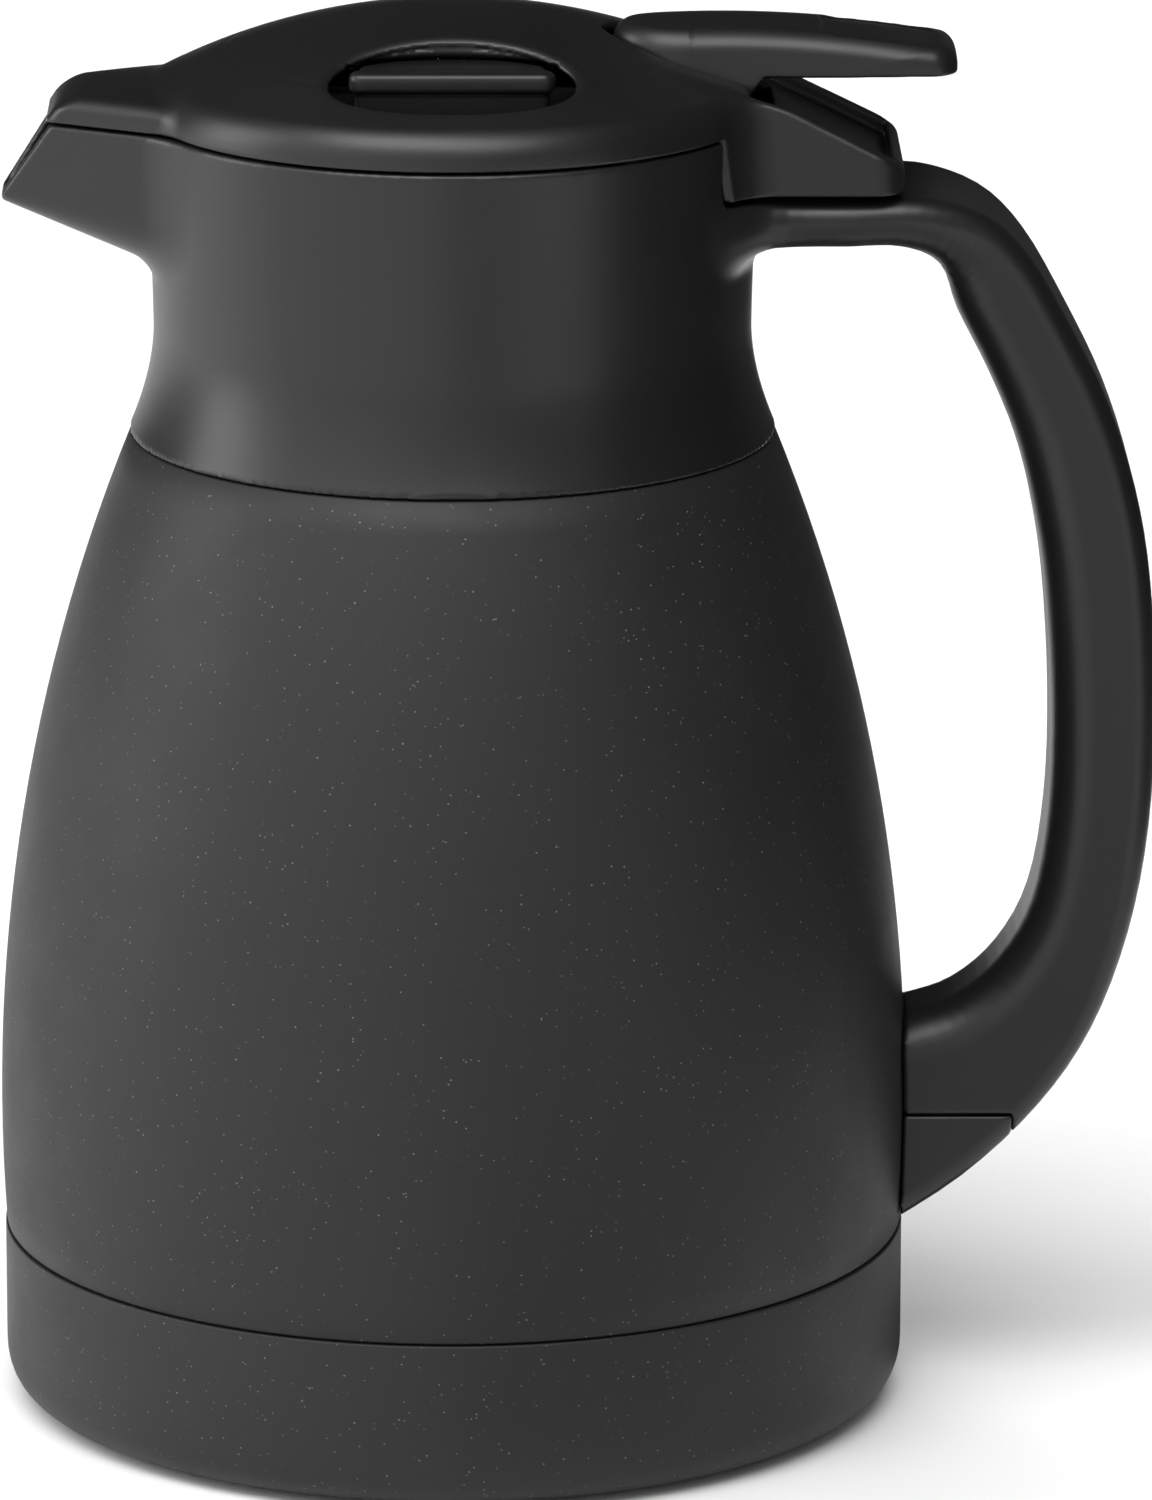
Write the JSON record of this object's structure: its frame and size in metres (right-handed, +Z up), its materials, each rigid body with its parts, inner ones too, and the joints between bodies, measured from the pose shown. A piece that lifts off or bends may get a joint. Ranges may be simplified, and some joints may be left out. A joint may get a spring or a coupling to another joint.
{
  "type": "thermal coffee carafe with pouring lever",
  "caption": "Double-walled thermal coffee carafe in dark charcoal paint with a black collar, pouring spout, hinged thumb lever, latched lid and full-height handle.",
  "frame": {"origin": "centre of the underside of the foot pad, where the carafe stands on the table", "axes": "+Z up along the vessel's axis of turning, +X from the vessel's axis towards the handle, -X towards the spout, +Y completes the right-handed frame"},
  "size_m": [0.1828, 0.1442, 0.2238],
  "materials": {
    "body_paint": "matte dark charcoal paint with sparse fine metallic flecks",
    "satin_plastic": "satin black moulded polypropylene with a very fine grain",
    "inner_plastic": "smooth black moulded plastic inside the lid and neck",
    "vessel_steel": "satin stainless steel",
    "reflective_foil": "bright thin foil",
    "foot_rubber": "soft matte black rubber",
    "silicone_seal": "translucent grey silicone",
    "foam_ring": "closed-cell dark grey foam",
    "fastener_steel": "zinc plated or stainless screws, pin and bracket",
    "spring_steel": "drawn stainless wire"
  },
  "bodies": {
    "vessel": {"outer_shell": "body_paint", "shell_bottom": "vessel_steel", "vacuum_seal": "vessel_steel", "getter": "vessel_steel", "inner_vessel": "vessel_steel", "radiation_foil": "reflective_foil", "base_cup": "body_paint", "foot_pad": "foot_rubber", "collar_handle": "satin_plastic", "collar_gasket": "silicone_seal", "neck_ring": "inner_plastic", "handle_bracket": "fastener_steel", "handle_screw": "fastener_steel", "bracket_cover": "satin_plastic"},
    "lid": {"lid_cover": "satin_plastic", "stopper_body": "inner_plastic", "stopper_gasket": "silicone_seal", "lid_insulation": "foam_ring", "lid_screws": "fastener_steel", "lever_pin": "fastener_steel", "valve_spring": "spring_steel", "button_spring_front": "spring_steel", "button_spring_back": "spring_steel"},
    "lever": {"lever": "satin_plastic"},
    "valve": {"valve_stem": "inner_plastic", "stem_head": "inner_plastic", "valve_disc": "inner_plastic", "valve_gasket": "silicone_seal", "valve_nut": "fastener_steel"},
    "button_front": {"button_front": "satin_plastic"},
    "button_back": {"button_back": "satin_plastic"}
  },
  "joints": [
    {"name": "lid_lift", "type": "slide", "parent": "vessel", "child": "lid", "axis": [0, 0, 1], "range_m": [0, 0.06]},
    {"name": "lever_tilt", "type": "hinge", "parent": "lid", "child": "lever", "pos_m": [0.038, 0, 0.2098], "axis": [0, 1, 0], "range_deg": [0, 14], "stiffness_Nm_per_rad": 0.15},
    {"name": "valve_lift", "type": "slide", "parent": "lid", "child": "valve", "axis": [0, 0, 1], "range_m": [0, 0.0082], "deforming": ["valve_spring"]},
    {"name": "button_front_press", "type": "slide", "parent": "lid", "child": "button_front", "axis": [0, 1, 0], "range_m": [0, 0.003], "stiffness_N_per_m": 400, "deforming": ["button_spring_front"]},
    {"name": "button_back_press", "type": "slide", "parent": "lid", "child": "button_back", "axis": [0, -1, 0], "range_m": [0, 0.003], "stiffness_N_per_m": 400, "deforming": ["button_spring_back"]}
  ],
  "couplings": [
    {"joint": "valve_lift", "follows": "lever_tilt", "m_per_rad": 0.0325}
  ]
}
